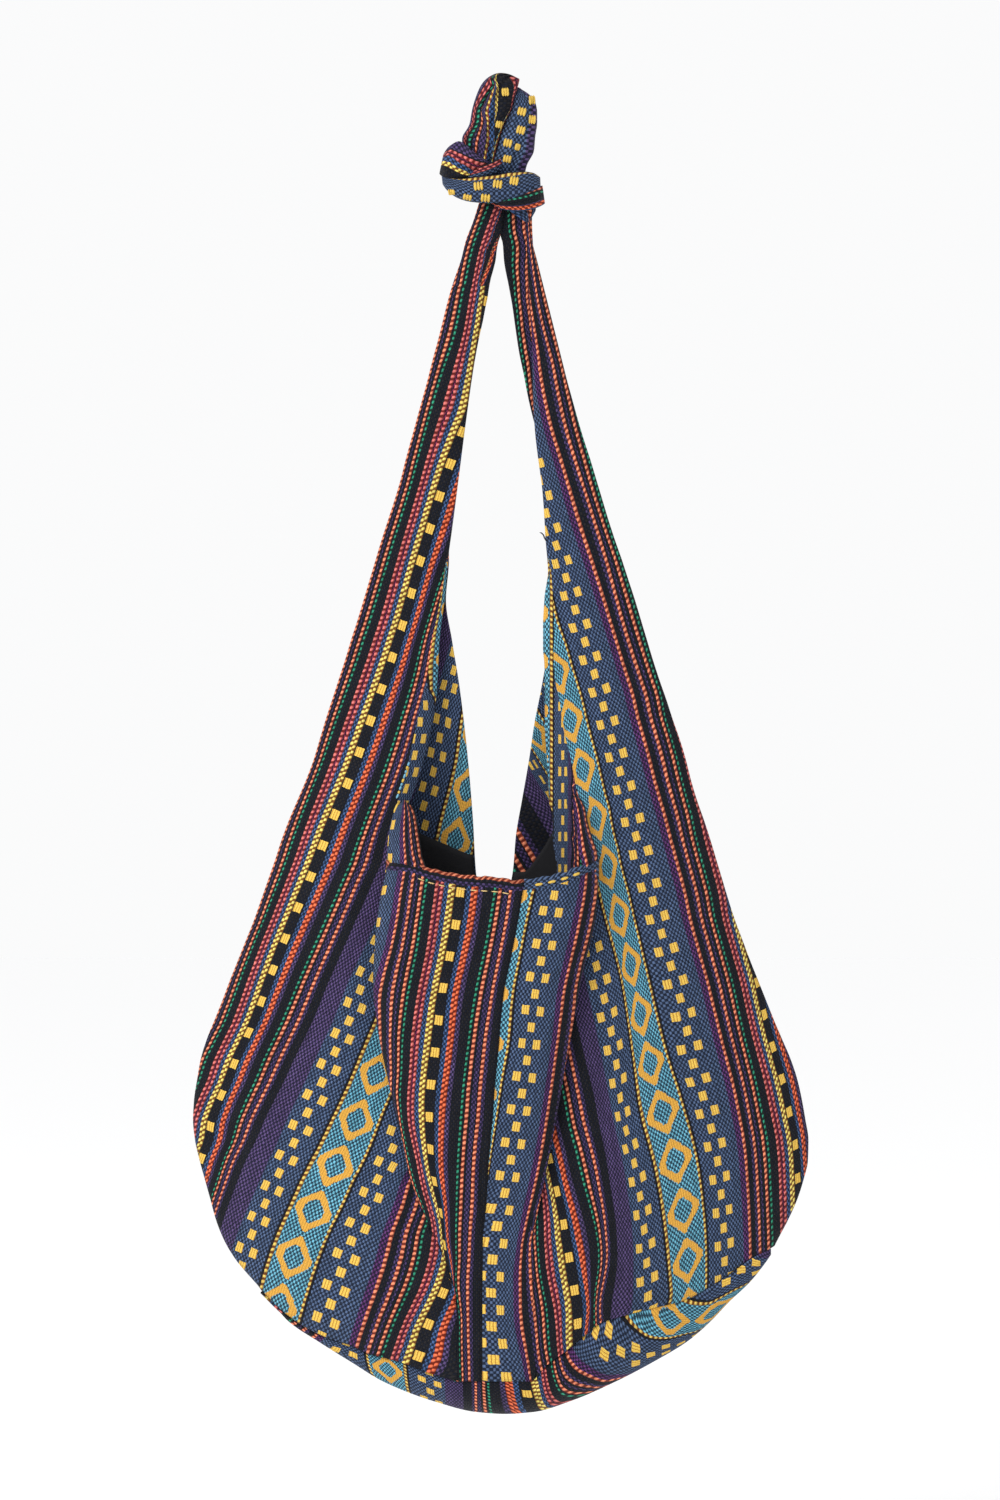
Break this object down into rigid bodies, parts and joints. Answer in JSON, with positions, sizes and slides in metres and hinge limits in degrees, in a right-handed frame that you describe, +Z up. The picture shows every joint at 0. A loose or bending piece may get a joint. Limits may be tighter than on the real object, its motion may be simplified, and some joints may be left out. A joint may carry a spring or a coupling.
{
  "type": "crossbody bag",
  "caption": "Soft woven sling bag with a wide open mouth; its body panels run up into a strap tied in a knot with a hanging loop.",
  "frame": {"origin": "underside of the top of the hanging loop, where it bears on the hook or nail that carries the bag", "axes": "+Z up along the hanging bag, -Y out of its front, +X to the right seen from the front"},
  "size_m": [0.3981, 0.0972, 0.8695],
  "materials": {
    "woven_cloth": "coarse striped plain weave, matt",
    "lining_cloth": "plain black cotton, matt"
  },
  "bodies": {
    "root": {"front_left_panel": "woven_cloth", "front_left_strap": "woven_cloth", "front_right_panel": "woven_cloth", "front_right_strap": "woven_cloth", "back_left_panel": "woven_cloth", "back_left_strap": "woven_cloth", "back_right_panel": "woven_cloth", "back_right_strap": "woven_cloth", "base_panel": "woven_cloth", "strap_knot": "woven_cloth", "hanging_loop": "woven_cloth", "lining_front": "lining_cloth", "lining_back": "lining_cloth", "lining_base": "lining_cloth"}
  },
  "joints": []
}
